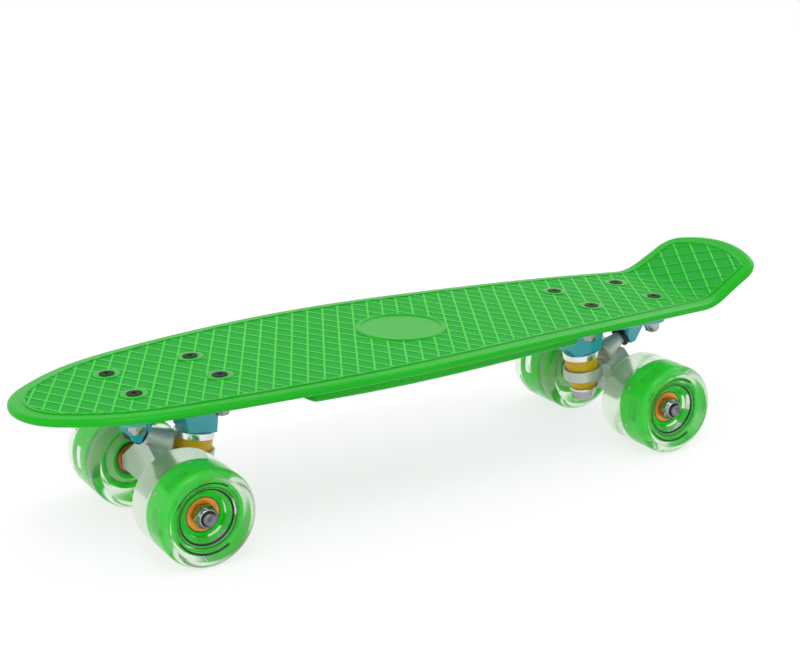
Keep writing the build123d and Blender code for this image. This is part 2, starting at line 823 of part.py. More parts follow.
with BuildPart() as lamps:
    with BuildSketch(axle_line):
        with BuildLine():
            Polyline(
                (wheel_middle - drum_inner_reach + lamp_clearance, hub_outer),
                (wheel_middle - drum_inner_reach + lamp_clearance, drum_inner - lamp_ring_gap),
                (wheel_middle - drum_inner_reach + lamp_ring, drum_inner - lamp_ring_gap),
                (wheel_middle - drum_inner_reach + lamp_ring, hub_outer), close=True,
            )
        make_face()
    revolve(axis=Axis.Y)
    for turn in range(slot_count):
        angle = radians((turn + 0.5) * 360 / slot_count)
        lamp_seat = Plane(
            origin=(0, wheel_middle + lamp_middle, 0), x_dir=(0, 1, 0),
            z_dir=(cos(angle), 0, sin(angle)),
        ).offset(drum_inner - lamp_root)
        with BuildSketch(lamp_seat):
            Circle(lamp_diameter / 2)
        extrude(amount=drum_wall + lamp_root - lamp_clearance)


def outer_race(start):
    """Outer ring of a sealed bearing, filled in to the running gap between its two shields."""
    stop = start + bearing_width
    recess = shield_depth + shield_thickness
    running = inner_race_diameter / 2 + running_gap
    return spun(
        [
            (start, bearing_outer / 2), (start, shield_diameter / 2), (start + recess, shield_diameter / 2),
            (start + recess, running), (stop - recess, running), (stop - recess, shield_diameter / 2),
            (stop, shield_diameter / 2), (stop, bearing_outer / 2),
        ],
        axle_line,
    ).part


def shield(start, outward):
    """Thin cover ring set into one face of a bearing."""
    face = start + bearing_width - shield_depth - shield_thickness if outward else start + shield_depth
    return ring(face, shield_thickness, inner_race_diameter + 2 * shield_gap, shield_diameter)


bearing_outer_races = grouped([outer_race(start) for start in bearing_starts])
bearing_shields = grouped([shield(start, outward) for start in bearing_starts for outward in (False, True)])

with BuildPart() as deck_bolts:
    for seat in trucks.values():
        with BuildSketch(on_truck(seat, deck_top_height + rib_height - bolt_length)):
            with GridLocations(bolt_grid_x, bolt_grid_y, 2, 2):
                Circle(bolt_diameter / 2)
        extrude(amount=bolt_length)
        with BuildSketch(on_truck(seat, deck_top_height + rib_height - bolt_head_height)):
            with GridLocations(bolt_grid_x, bolt_grid_y, 2, 2):
                Circle(bolt_diameter / 2)
        extrude(amount=bolt_head_height, taper=-45)
        with BuildSketch(on_truck(seat, deck_top_height + rib_height - drive_depth)):
            with GridLocations(bolt_grid_x, bolt_grid_y, 2, 2):
                Rectangle(drive_length, drive_width)
                Rectangle(drive_width, drive_length)
        extrude(amount=drive_depth, mode=Mode.SUBTRACT)

with BuildPart() as deck_nuts:
    for seat in trucks.values():
        with BuildSketch(on_truck(seat, plate_foot)):
            with GridLocations(bolt_grid_x, bolt_grid_y, 2, 2):
                RegularPolygon(nut_size / 2, 6, major_radius=False)
        extrude(amount=nut_collar - nut_height)
        with BuildSketch(on_truck(seat, plate_foot - nut_height + nut_collar)):
            with GridLocations(bolt_grid_x, bolt_grid_y, 2, 2):
                Circle(nut_size / 2 - nut_step)
        extrude(amount=-nut_collar)
        with BuildSketch(on_truck(seat, plate_foot)):
            with GridLocations(bolt_grid_x, bolt_grid_y, 2, 2):
                Circle(bolt_diameter / 2)
        extrude(amount=-nut_height, mode=Mode.SUBTRACT)

write(deck_bolts.part, "deck_bolts")
write(deck_nuts.part, "deck_nuts")

truck_pieces = {
    "riser_pad": riser_pad.part, "baseplate": baseplate.part, "pivot_cup": pivot_cup.part,
    "kingpin": kingpin.part, "kingpin_nut": kingpin_nut.part,
    "washer_boardside": washer_boardside.part, "washer_roadside": washer_roadside.part,
    "bushing_boardside": bushing_boardside.part, "bushing_roadside": bushing_roadside.part,
    "hanger": hanger.part, "axle": axle.part, "axle_nuts": axle_nuts,
    "speed_washers": speed_washers, "bearing_inner_races": bearing_inner_races,
    "magnet_sleeves": magnet_sleeves,
}
wheel_pieces = {
    "tyre": tyre.part, "core": core.part, "lamps": lamps.part,
    "bearing_outer_races": bearing_outer_races, "bearing_shields": bearing_shields,
}
for end, seat in trucks.items():
    for name, solid in truck_pieces.items():
        write(solid.moved(seat.location), f"{end}_{name}")
    for name, solid in wheel_pieces.items():
        near, far = ("left", "right") if end == "front" else ("right", "left")
        write(solid.moved(seat.location), f"{end}_{near}_{name}")
        write(solid.mirror(Plane.XZ).moved(seat.location), f"{end}_{far}_{name}")
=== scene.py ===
import json
import math

import bmesh
import bpy
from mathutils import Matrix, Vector
from mathutils.bvhtree import BVHTree

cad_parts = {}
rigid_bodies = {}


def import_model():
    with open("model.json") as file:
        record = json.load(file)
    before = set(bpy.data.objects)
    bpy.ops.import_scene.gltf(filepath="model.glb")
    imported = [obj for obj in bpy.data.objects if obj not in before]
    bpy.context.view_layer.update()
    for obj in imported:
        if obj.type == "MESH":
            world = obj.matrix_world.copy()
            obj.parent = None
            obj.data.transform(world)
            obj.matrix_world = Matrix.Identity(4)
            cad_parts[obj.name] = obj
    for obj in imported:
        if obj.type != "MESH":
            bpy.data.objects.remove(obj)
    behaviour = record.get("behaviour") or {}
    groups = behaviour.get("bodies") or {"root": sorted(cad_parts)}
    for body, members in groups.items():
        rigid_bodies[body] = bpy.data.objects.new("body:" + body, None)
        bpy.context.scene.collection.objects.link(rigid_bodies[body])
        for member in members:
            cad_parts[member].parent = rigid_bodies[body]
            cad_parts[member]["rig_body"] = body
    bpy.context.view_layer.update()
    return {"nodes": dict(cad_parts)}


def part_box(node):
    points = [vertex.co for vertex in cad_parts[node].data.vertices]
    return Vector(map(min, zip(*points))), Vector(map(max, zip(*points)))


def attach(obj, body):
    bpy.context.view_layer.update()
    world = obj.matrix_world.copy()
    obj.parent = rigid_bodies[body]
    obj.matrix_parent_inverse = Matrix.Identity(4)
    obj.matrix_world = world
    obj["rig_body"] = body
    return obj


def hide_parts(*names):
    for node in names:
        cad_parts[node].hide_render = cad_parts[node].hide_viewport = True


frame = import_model()
ends = ("front", "rear")
sides = ("left", "right")
mm = 0.001


def srgb(r, g, b):
    return tuple(((c / 255 + 0.055) / 1.055) ** 2.4 if c > 10 else c / 255 / 12.92 for c in (r, g, b))


def objectNoise(mat, scale, detail):
    nodes, links = mat.node_tree.nodes, mat.node_tree.links
    noise = nodes.new("ShaderNodeTexNoise")
    noise.inputs["Scale"].default_value = scale
    noise.inputs["Detail"].default_value = detail
    links.new(nodes.new("ShaderNodeTexCoord").outputs["Object"], noise.inputs["Vector"])
    return noise.outputs["Fac"]


def makeFinish(name, color, rough, grain, drift=None, between=None, bump=0.0, edge=0.0, **sockets):
    # colour and roughness drift a little over the surface, with a fine bump and softened edges on top
    mat = bpy.data.materials.new(name)
    mat.use_nodes = True
    nodes, links = mat.node_tree.nodes, mat.node_tree.links
    shader = nodes["Principled BSDF"]
    shader.inputs["Base Color"].default_value = (*color, 1)
    shader.inputs["Roughness"].default_value = rough[1]
    for label, value in sockets.items():
        shader.inputs[label.replace("_", " ")].default_value = value

    ramp = nodes.new("ShaderNodeValToRGB")
    low, high = between or [tuple(c * factor for c in color) for factor in drift]
    for stop, position, tone in zip(ramp.color_ramp.elements, (0.35, 0.65), (low, high)):
        stop.position = position
        stop.color = (*tone, 1)
    links.new(objectNoise(mat, grain[0], 3), ramp.inputs["Fac"])
    links.new(ramp.outputs["Color"], shader.inputs["Base Color"])

    fine = objectNoise(mat, grain[1], 5)
    spread = nodes.new("ShaderNodeMapRange")
    spread.inputs["To Min"].default_value = rough[0]
    spread.inputs["To Max"].default_value = rough[2]
    links.new(fine, spread.inputs["Value"])
    links.new(spread.outputs["Result"], shader.inputs["Roughness"])
    if bump:
        ripple = nodes.new("ShaderNodeBump")
        ripple.inputs["Strength"].default_value = bump
        ripple.inputs["Distance"].default_value = 0.2 * mm
        links.new(fine, ripple.inputs["Height"])
        links.new(ripple.outputs["Normal"], shader.inputs["Normal"])
        if edge:
            soft = nodes.new("ShaderNodeBevel")
            soft.samples = 6
            soft.inputs["Radius"].default_value = edge * mm
            links.new(soft.outputs["Normal"], ripple.inputs["Normal"])
    return mat


# Finishes: colour, its drift as shares or as two tones, low, middle and high roughness,
# coarse and fine grain, strength of the bump, softened edge in mm, then the shader's own sockets
coreGreen = srgb(4, 214, 22)
finishes = {
    "deckPlastic": {
        "color": srgb(8, 160, 18), "drift": (0.97, 1.04), "rough": (0.26, 0.3, 0.34), "grain": (9, 260),
        "bump": 0.02, "edge": 0.3, "Coat_Weight": 0.05, "Coat_Roughness": 0.15, "Specular_IOR_Level": 0.16,
    },
    # the ribs are the deck's own plastic in a brighter green, as painted light on their lit tops
    "ribPlastic": {
        "color": srgb(28, 190, 34), "drift": (0.97, 1.03), "rough": (0.32, 0.35, 0.4), "grain": (9, 260),
        "bump": 0.02, "Specular_IOR_Level": 0.16,
    },
    "baseplatePaint": {
        "color": srgb(34, 170, 186), "drift": (0.95, 1.04), "rough": (0.28, 0.3, 0.38), "grain": (40, 500),
        "bump": 0.06, "edge": 0.9, "Coat_Weight": 0.35, "Coat_Roughness": 0.1,
    },
    "hangerMetal": {
        "color": srgb(206, 212, 205), "drift": (0.93, 1.04), "rough": (0.36, 0.4, 0.48), "grain": (60, 700),
        "bump": 0.12, "edge": 1.4, "Metallic": 0.35,
    },
    "platedSteel": {
        "color": srgb(178, 179, 178), "drift": (0.86, 1.06), "rough": (0.16, 0.22, 0.3), "grain": (90, 900),
        "bump": 0.05, "edge": 0.25, "Metallic": 1.0,
    },
    "chromeSteel": {
        "color": srgb(230, 231, 233), "between": (srgb(222, 224, 226), srgb(238, 239, 240)),
        "rough": (0.15, 0.18, 0.22), "grain": (50, 600), "bump": 0.02, "edge": 0.3, "Metallic": 1.0,
    },
    "axleSteel": {
        "color": srgb(112, 114, 118), "between": (srgb(84, 86, 92), srgb(140, 142, 146)),
        "rough": (0.28, 0.34, 0.42), "grain": (260, 900), "bump": 0.08, "edge": 0.25, "Metallic": 0.9,
    },
    # the outer races are the same steel as the inner races, darkened as painted shade
    "raceSteel": {
        "color": srgb(104, 98, 88), "between": (srgb(92, 86, 78), srgb(116, 110, 100)),
        "rough": (0.3, 0.35, 0.42), "grain": (120, 900), "bump": 0.03, "edge": 0.3, "Metallic": 0.9,
    },
    "shieldPaint": {
        "color": srgb(224, 146, 30), "drift": (0.88, 1.08), "rough": (0.24, 0.3, 0.36), "grain": (160, 1200),
        "bump": 0.04, "Metallic": 0.4,
    },
    "bushingRubber": {
        "color": srgb(222, 176, 0), "drift": (0.95, 1.04), "rough": (0.32, 0.4, 0.42), "grain": (80, 600),
        "bump": 0.04, "edge": 0.5, "Subsurface_Weight": 0.3, "Subsurface_Scale": 4 * mm,
    },
    "riserRubber": {
        "color": srgb(28, 28, 30), "drift": (0.8, 1.3), "rough": (0.52, 0.6, 0.68), "grain": (60, 700),
        "bump": 0.1, "edge": 0.3,
    },
    "boltBlack": {
        "color": srgb(8, 8, 9), "between": (srgb(5, 5, 6), srgb(12, 12, 13)),
        "rough": (0.35, 0.4, 0.46), "grain": (200, 1200), "bump": 0.06, "edge": 0.15, "Specular_IOR_Level": 0.1,
    },
    "tyreUrethane": {
        "color": srgb(236, 247, 230), "between": (srgb(228, 243, 222), srgb(238, 248, 232)),
        "rough": (0.14, 0.16, 0.22), "grain": (30, 200), "bump": 0.01, "edge": 0.5,
        "Transmission_Weight": 0.97, "IOR": 1.36, "Specular_IOR_Level": 0.4,
    },
    "corePlastic": {
        "color": coreGreen, "drift": (0.95, 1.04), "rough": (0.3, 0.35, 0.4), "grain": (60, 500),
        "bump": 0.03, "edge": 0.3, "Specular_IOR_Level": 0.2,
        # a faint emission in the core's own green is a painted glow
        "Emission_Color": (*coreGreen, 1), "Emission_Strength": 0.16,
    },
    "lampPlastic": {
        "color": srgb(176, 226, 168), "between": (srgb(166, 218, 158), srgb(188, 232, 180)),
        "rough": (0.25, 0.3, 0.35), "grain": (200, 900), "bump": 0.02,
        "Subsurface_Weight": 0.2, "Subsurface_Scale": 2 * mm,
    },
    "printInk": {
        "color": srgb(14, 15, 14), "between": (srgb(10, 11, 10), srgb(22, 23, 22)),
        "rough": (0.3, 0.35, 0.42), "grain": (120, 900), "bump": 0.02,
    },
}
finish = {name: makeFinish(name, **values) for name, values in finishes.items()}

nodeFinish = {
    "deck": "deckPlastic", "deck_bolts": "boltBlack", "deck_nuts": "platedSteel",
    "riser_pad": "riserRubber", "baseplate": "baseplatePaint", "pivot_cup": "riserRubber",
    "kingpin": "axleSteel", "kingpin_nut": "platedSteel",
    "washer_boardside": "chromeSteel", "washer_roadside": "chromeSteel",
    "bushing_boardside": "bushingRubber", "bushing_roadside": "bushingRubber",
    "hanger": "hangerMetal", "axle": "axleSteel", "axle_nuts": "platedSteel",
    "speed_washers": "platedSteel", "bearing_inner_races": "chromeSteel", "magnet_sleeves": "platedSteel",
    # the core's finish carries a painted glow
    "tyre": "tyreUrethane", "core": "corePlastic", "lamps": "lampPlastic",
    # the outer races' darker steel is painted shade
    "bearing_outer_races": "raceSteel", "bearing_shields": "shieldPaint",
}

# The floor between the deck's ribs is matt, and its darker, greyer green is painted shade and painted sheen, where
# the face attribute marks it
deckFloorShadeAndSheen = {"mark": "topFloor", "color": srgb(30, 150, 48), "roughness": 0.62}


def paintFloorShadeAndSheen(mat):
    nodes, links = mat.node_tree.nodes, mat.node_tree.links
    shader = nodes["Principled BSDF"]
    mask = nodes.new("ShaderNodeAttribute")
    mask.attribute_name = deckFloorShadeAndSheen["mark"]
    shadeAndSheen = {
        "Base Color": (*deckFloorShadeAndSheen["color"], 1), "Roughness": (*[deckFloorShadeAndSheen["roughness"]] * 3, 1),
        "Coat Weight": (0, 0, 0, 1),
    }
    for label, value in shadeAndSheen.items():
        socket = shader.inputs[label]
        blend = nodes.new("ShaderNodeMix")
        blend.data_type = "RGBA"  # its colour sockets are inputs 6 and 7 and output 2
        links.new(mask.outputs["Fac"], blend.inputs["Factor"])
        if socket.is_linked:
            links.new(socket.links[0].from_socket, blend.inputs[6])
        else:
            blend.inputs[6].default_value = (*[socket.default_value] * 3, 1)
        blend.inputs[7].default_value = value
        links.new(blend.outputs[2], socket)


paintFloorShadeAndSheen(finish["deckPlastic"])


def addObject(name, data):
    obj = bpy.data.objects.new(name, data)
    bpy.context.scene.collection.objects.link(obj)
    return obj


def paint(obj, material):
    obj.data.materials.clear()
    obj.data.materials.append(material)


def smooth(mesh, sharpAngle):
    for polygon in mesh.polygons:
        polygon.use_smooth = True
    mesh.set_sharp_from_angle(angle=math.radians(sharpAngle))


def kind(node):
    for part in ends + sides:
        node = node.removeprefix(part + "_")
    return node


# Every CAD node is shown as a merged, smoothly shaded copy of its own mesh
copies = {"merge": 2e-6, "sharp": 32}


def shownCopy(node):
    source = frame["nodes"][node]
    mesh = source.data.copy()
    mesh.name = node + "_shown"
    obj = addObject(node + "_shown", mesh)
    build = bmesh.new()
    build.from_mesh(mesh)
    bmesh.ops.remove_doubles(build, verts=build.verts, dist=copies["merge"])
    build.to_mesh(mesh)
    build.free()
    smooth(mesh, copies["sharp"])
    obj.modifiers.new("weighted", "WEIGHTED_NORMAL").keep_sharp = True
    paint(obj, finish[nodeFinish[kind(node)]])
    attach(obj, source["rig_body"])
    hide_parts(node)
    return obj


shown = {node: shownCopy(node) for node in frame["nodes"]}
print("frame dressed:", len(shown), "nodes")


# Geometry Nodes helpers: a tree with named inputs, run once into a plain mesh
def newTree(name, inputs):
    tree = bpy.data.node_groups.new(name, "GeometryNodeTree")
    for label, form in inputs.items():
        tree.interface.new_socket(label, in_out="INPUT", socket_type="NodeSocket" + form)
    tree.interface.new_socket("Geometry", in_out="OUTPUT", socket_type="NodeSocketGeometry")
    return tree, tree.nodes.new("NodeGroupInput").outputs, tree.nodes.new("NodeGroupOutput")


def wire(tree, kindOrNode, **sockets):
    # sets a value or links an output to each input, by name or as i0, i1 and so on
    node = tree.nodes.new(kindOrNode) if isinstance(kindOrNode, str) else kindOrNode
    for key, value in sockets.items():
        numbered = key[0] == "i" and key[1:].isdigit()
        socket = node.inputs[int(key[1:]) if numbered else key.replace("_", " ")]
        if isinstance(value, bpy.types.NodeSocket):
            tree.links.new(value, socket)
        else:
            socket.default_value = value
    return node


def maths(tree, operation, first, second=0.0, third=0.0):
    node = tree.nodes.new("ShaderNodeMath")
    node.operation = operation
    return wire(tree, node, i0=first, i1=second, i2=third).outputs[0]


def closeTree(tree, geometry, material, output):
    real = wire(tree, "GeometryNodeRealizeInstances", Geometry=geometry)
    painted = wire(tree, "GeometryNodeSetMaterial", Geometry=real.outputs[0], Material=material)
    tree.links.new(painted.outputs[0], output.inputs[0])


def runTree(tree, values):
    # evaluates the tree on an empty mesh and returns the result as a plain mesh
    holder = addObject(tree.name, bpy.data.meshes.new(tree.name))
    modifier = holder.modifiers.new(tree.name, "NODES")
    modifier.node_group = tree
    for item in tree.interface.items_tree:
        if item.in_out == "INPUT" and item.name in values:
            modifier[item.identifier] = values[item.name]
    holder.update_tag()
    bpy.context.view_layer.update()
    evaluated = holder.evaluated_get(bpy.context.evaluated_depsgraph_get())
    mesh = bpy.data.meshes.new_from_object(evaluated)
    bpy.data.objects.remove(holder)
    return mesh


added = {"merge": 1e-7, "sharp": 35}


def addPiece(name, meshes, material, body):
    # joins meshes into one piece at the origin that rides on a CAD body
    build = bmesh.new()
    for mesh in meshes:
        build.from_mesh(mesh)
    bmesh.ops.remove_doubles(build, verts=build.verts, dist=added["merge"])
    bmesh.ops.recalc_face_normals(build, faces=build.faces)
    joined = bpy.data.meshes.new(name)
    build.to_mesh(joined)
    build.free()
    smooth(joined, added["sharp"])
    obj = addObject(name, joined)
    paint(obj, material)
    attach(obj, body)
    return obj


# Deck top, sizes in mm and degrees: the plan loops of its floor, read off the CAD mesh, bound two
# families of slanting ribs; topShares gives half widths and heights up one side of a rib
grid = {
    "pitch": 11.25, "angle": 61.5, "middle": 7.9, "reach": 0.9, "sink": 0.35, "step": 3.0,
    "baseHalf": 0.66, "topHalf": 0.42, "rise": 0.66, "topShares": ((1.0, 0.86), (0.6, 1.0)),
    "floorSpot": (60.0, 30.0), "sample": 2.0, "badgeReach": 35.0, "badgeAside": 36.0,
    "runOn": 16.0, "sheetHalf": 100.0, "foldLimit": 0.5,
}
rim = {"width": 4.4, "share": 0.62, "probe": 4.2, "wallTilt": 0.3}
deckBuild = bmesh.new()
deckBuild.from_mesh(shown["deck"].data)
deckBuild.faces.ensure_lookup_table()
deckTree = BVHTree.FromBMesh(deckBuild)


def topHit(x, y):
    return deckTree.ray_cast(Vector((x, y, 1.0)), Vector((0, 0, -1)))


def patchFrom(index, belongs):
    # the faces joined to one face, as long as each step over an edge passes the test
    start = deckBuild.faces[index]
    patch, front = {start}, [start]
    while front:
        for edge in front.pop().edges:
            for other in edge.link_faces:
                if other not in patch and belongs(edge, other):
                    patch.add(other)
                    front.append(other)
    return patch


floorSpot = [value * mm for value in grid["floorSpot"]]
topFloor = patchFrom(topHit(*floorSpot)[2], lambda edge, face: edge.calc_face_angle(3.0) < grid["foldLimit"])
floorIndex = {face.index for face in topFloor}
floorRim = [edge for face in topFloor for edge in face.edges
            if sum(other in topFloor for other in edge.link_faces) == 1]


def ribSpans(lean):
    # where each line of one family crosses the floor, as pairs of plan points
    way = Vector((math.cos(lean), math.sin(lean)))
    across = Vector((-way.y, way.x))
    borders = [(edge.verts[0].co.xy, edge.verts[1].co.xy) for edge in floorRim]
    low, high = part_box("deck")
    count = int((high.x - low.x) / (grid["pitch"] * mm))
    reach = grid["reach"] * mm
    spans = []
    for step in range(-count, count + 1):
        root = Vector(((grid["middle"] + step * grid["pitch"]) * mm, 0))
        cuts = []
        for first, last in borders:
            offFirst, offLast = (first - root).dot(across), (last - root).dot(across)
            if (offFirst > 0) != (offLast > 0):
                point = first.lerp(last, offFirst / (offFirst - offLast))
                cuts.append((point - root).dot(way))
        cuts.sort()
        for start, stop in zip(cuts[::2], cuts[1::2]):
            spans.append((root + way * (start - reach), root + way * (stop + reach)))
    return spans


def floorHeights():
    # the floor's own heights along the board, beside the badge and run on past both ends
    xs = [vert.co.x for edge in floorRim for vert in edge.verts]
    start, length = min(xs) + mm / 2, max(xs) - min(xs) - mm
    count = int((max(xs) - min(xs)) / (grid["sample"] * mm))
    line = []
    for step in range(count + 1):
        x = start + step * length / count
        beside = abs(x - grid["middle"] * mm) < grid["badgeReach"] * mm
        line.append((x, topHit(x, grid["badgeAside"] * mm if beside else 0.0)[0].z))
    for (x0, z0), (x1, z1) in ((line[0], line[1]), (line[-1], line[-2])):
        far = x0 - math.copysign(grid["runOn"] * mm, x1 - x0)
        line.append((far, z0 + (z1 - z0) / (x1 - x0) * (far - x0)))
    return sorted(line)


heights = floorHeights()


def floorHeight(x):
    for (x0, z0), (x1, z1) in zip(heights, heights[1:]):
        if x0 <= x <= x1:
            return z0 + (z1 - z0) * (x - x0) / (x1 - x0)


def thinRim():
    # the rim's depth shrinks towards its top, out to a set width in from the outline
    probe = Vector((floorSpot[0], 1, floorHeight(floorSpot[0]) - rim["probe"] * mm))
    wall = patchFrom(deckTree.ray_cast(probe, Vector((0, -1, 0)))[2],
                     lambda edge, face: abs(face.normal.z) < rim["wallTilt"])
    corners, faces = [], []
    for face in wall:
        for edge in face.edges:
            first, second = (vert.co for vert in edge.verts)
            if (first.xy - second.xy).length > 1e-5:
                faces.append(tuple(len(corners) + step for step in range(4)))
                corners.extend([(*first.xy, -1), (*second.xy, -1), (*second.xy, 1), (*first.xy, 1)])
    curtain = BVHTree.FromPolygons(corners, faces)
    moved = 0
    for vert in deckBuild.verts:
        if curtain.find_nearest(vert.co)[3] < rim["width"] * mm:
            depth = floorHeight(vert.co.x) - vert.co.z
            if depth > 0:
                vert.co.z += (1 - rim["share"]) * depth
                moved += 1
    return moved


def plainMesh(name, points, edges, faces):
    mesh = bpy.data.meshes.new(name)
    mesh.from_pydata(points, edges, faces)
    return mesh


ribEnds = []
for lean in (grid["angle"], -grid["angle"]):
    for start, stop in ribSpans(math.radians(lean)):
        ribEnds += [(*start, 0), (*stop, 0)]
ribLines = plainMesh("ribLines", ribEnds, [(step, step + 1) for step in range(0, len(ribEnds), 2)], [])

# a ruled sheet through those heights, for the ribs to lie on
sheetPoints = [(x, side * grid["sheetHalf"] * mm, z) for x, z in heights for side in (-1, 1)]
sheetFaces = [(2 * step, 2 * step + 2, 2 * step + 3, 2 * step + 1) for step in range(len(heights) - 1)]
floorSheet = plainMesh("floorSheet", sheetPoints, [], sheetFaces)

# the rib's section, up one side and down the other
ribHalf = [(grid["baseHalf"], -grid["sink"]), (grid["baseHalf"], 0)]
ribHalf += [(grid["topHalf"] * across, grid["rise"] * up) for across, up in grid["topShares"]]
ribSection = [(-x * mm, y * mm, 0) for x, y in ribHalf] + [(x * mm, y * mm, 0) for x, y in reversed(ribHalf)]
ribProfile = plainMesh("ribProfile", ribSection,
                       [(step, (step + 1) % len(ribSection)) for step in range(len(ribSection))], [])

moved = thinRim()
deckMesh = shown["deck"].data
deckBuild.to_mesh(deckMesh)
deckBuild.free()
# the face attribute marks the floor that takes the painted shade and sheen
floorShadeMark = deckMesh.attributes.new(deckFloorShadeAndSheen["mark"], "FLOAT", "FACE")
for polygon in deckMesh.polygons:
    floorShadeMark.data[polygon.index].value = 1.0 if polygon.index in floorIndex else 0.0
print("rim thinned:", moved, "points")

ribTree, ribIn, ribOut = newTree("deckRibs", {
    "Lines": "Object", "Sheet": "Object", "Profile": "Object", "Step": "Float", "Plastic": "Material",
})
lines, floorTop, profile = (
    wire(ribTree, "GeometryNodeObjectInfo", Object=ribIn[label]).outputs["Geometry"]
    for label in ("Lines", "Sheet", "Profile")
)
lineCurves = wire(ribTree, "GeometryNodeMeshToCurve", Mesh=lines)
finer = ribTree.nodes.new("GeometryNodeResampleCurve")
finer.mode = "LENGTH"
wire(ribTree, finer, Curve=lineCurves.outputs[0], Length=ribIn["Step"])
lifted = wire(ribTree, "GeometryNodeSetPosition", Geometry=finer.outputs[0], Offset=(0, 0, 1.0))
drop = wire(ribTree, "GeometryNodeRaycast", Target_Geometry=floorTop, Ray_Direction=(0, 0, -1), Ray_Length=2.0)
laid = wire(ribTree, "GeometryNodeSetPosition", Geometry=lifted.outputs[0], Position=drop.outputs["Hit Position"])
upright = ribTree.nodes.new("GeometryNodeSetCurveNormal")
upright.mode = "Z_UP"
wire(ribTree, upright, Curve=laid.outputs[0])
section = wire(ribTree, "GeometryNodeMeshToCurve", Mesh=profile)
ribBody = wire(ribTree, "GeometryNodeCurveToMesh", Curve=upright.outputs[0],
               Profile_Curve=section.outputs[0], Fill_Caps=True)
closeTree(ribTree, ribBody.outputs[0], ribIn["Plastic"], ribOut)

helpers = {
    "Lines": addObject("ribLines", ribLines), "Sheet": addObject("floorSheet", floorSheet),
    "Profile": addObject("ribProfile", ribProfile),
}
# the ribs take the brighter green of painted light on their tops
deckRibs = runTree(ribTree, {**helpers, "Step": grid["step"] * mm, "Plastic": finish["ribPlastic"]})
for helper in helpers.values():
    bpy.data.objects.remove(helper)
addPiece("deck_ribs", [deckRibs], finish["ribPlastic"], "board")
print("deck ribs made:", len(ribEnds) // 2, "runs,", len(deckRibs.polygons), "faces")

# Clear tyres, in mm from the wheel's middle and its axis: turned bodies that close inside the hub's
# wall, so that the core is cast into them
tyre = {
    "half": 22.5, "tread": 30.0, "lip": 25.0, "hub": (12.3, 13.1), "dish": ((14.6, 13.25), (22.38, 24.85)),
    "edgeSteps": 10, "turns": 144,
}


def tyreOutline():
    edge = tyre["tread"] - tyre["lip"]
    face = [tyre["hub"], *tyre["dish"]]
    for step in range(tyre["edgeSteps"] + 1):
        turn = math.radians(90 * step / tyre["edgeSteps"])
        face.append((tyre["half"] - edge + edge * math.cos(turn), tyre["lip"] + edge * math.sin(turn)))
    return face + [(-y, radius) for y, radius in reversed(face)]


def clearTyre(end, side):
    node = f"{end}_{side}_tyre"
    low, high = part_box(node)
    centre = (low + high) / 2
    build = bmesh.new()
    outline = [build.verts.new((centre.x, centre.y + y * mm, centre.z + radius * mm))
               for y, radius in tyreOutline()]
    edges = [build.edges.new((outline[step], outline[step - 1])) for step in range(len(outline))]
    bmesh.ops.spin(build, geom=outline + edges, cent=centre, axis=(0, 1, 0), dvec=(0, 0, 0),
                   angle=math.tau, steps=tyre["turns"], use_duplicate=False)
    bmesh.ops.remove_doubles(build, verts=build.verts, dist=1e-6)
    mesh = bpy.data.meshes.new(node + "_clear")
    build.to_mesh(mesh)
    build.free()
    bpy.data.objects.remove(shown.pop(node))
    obj = addPiece(node + "_clear", [mesh], finish["tyreUrethane"], f"{end}_{side}_wheel")
    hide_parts(node)


for end in ends:
    for side in sides:
        clearTyre(end, side)
print("clear tyres made")

# A flat or conical band round a wheel's axis, in one tree for the printed rings and the shield rims
bandTree, bandIn, bandOut = newTree("wheelBand", {
    "Radius": "Float", "Width": "Float", "Start": "Float", "Sweep": "Float", "Inner": "Vector",
    "Slope": "Float", "Side": "Float", "Lift": "Float", "Steps": "Int", "Ink": "Material",
})
bandGrid = wire(bandTree, "GeometryNodeMeshGrid", Size_X=1.0, Size_Y=1.0, Vertices_X=bandIn["Steps"], Vertices_Y=3)
spot = wire(bandTree, "ShaderNodeSeparateXYZ", i0=bandTree.nodes.new("GeometryNodeInputPosition").outputs[0])
centre = wire(bandTree, "ShaderNodeSeparateXYZ", i0=bandIn["Inner"])
along = maths(bandTree, "ADD", spot.outputs[0], 0.5)
angle = maths(bandTree, "MULTIPLY_ADD", along, bandIn["Sweep"], bandIn["Start"])
radius = maths(bandTree, "MULTIPLY_ADD", spot.outputs[1], bandIn["Width"], bandIn["Radius"])
rise = maths(bandTree, "MULTIPLY", radius, bandIn["Slope"])
height = maths(bandTree, "ADD", maths(bandTree, "ADD", rise, bandIn["Lift"]), centre.outputs[1])
place = wire(bandTree, "ShaderNodeCombineXYZ",
             X=maths(bandTree, "MULTIPLY_ADD", radius, maths(bandTree, "COSINE", angle), centre.outputs[0]),
             Y=maths(bandTree, "MULTIPLY", height, bandIn["Side"]),
             Z=maths(bandTree, "MULTIPLY_ADD", radius, maths(bandTree, "SINE", angle), centre.outputs[2]))
bent = wire(bandTree, "GeometryNodeSetPosition", Geometry=bandGrid.outputs[0], Position=place.outputs[0])
closeTree(bandTree, bent.outputs[0], bandIn["Ink"], bandOut)
bandSteps = 120


def band(box, side, start, slope, material, radius, width, arc, lift):
    # sizes in mm, but start in metres: how far from the board's middle plane the cone's tip lies
    low, high = box
    return runTree(bandTree, {
        "Radius": radius * mm, "Width": width * mm, "Start": math.radians(arc[0]),
        "Sweep": math.radians(arc[1] - arc[0]), "Slope": slope, "Side": 1.0 if side == "left" else -1.0,
        "Inner": ((low.x + high.x) / 2, start, (low.z + high.z) / 2), "Lift": lift * mm,
        "Steps": bandSteps + 1, "Ink": material,
    })


# Printed rings on the outer dish of each wheel: radius, width, then the arc, 0 at the nose side and 90 at the top
rings = {
    "bands": [(16.7, 1.1, (0, 360)), (18.4, 0.4, (0, 360)), (21.3, 1.0, (27, 126)), (21.3, 1.0, (-124, -29))],
    "lift": 0.1, "thickness": 0.06,
}


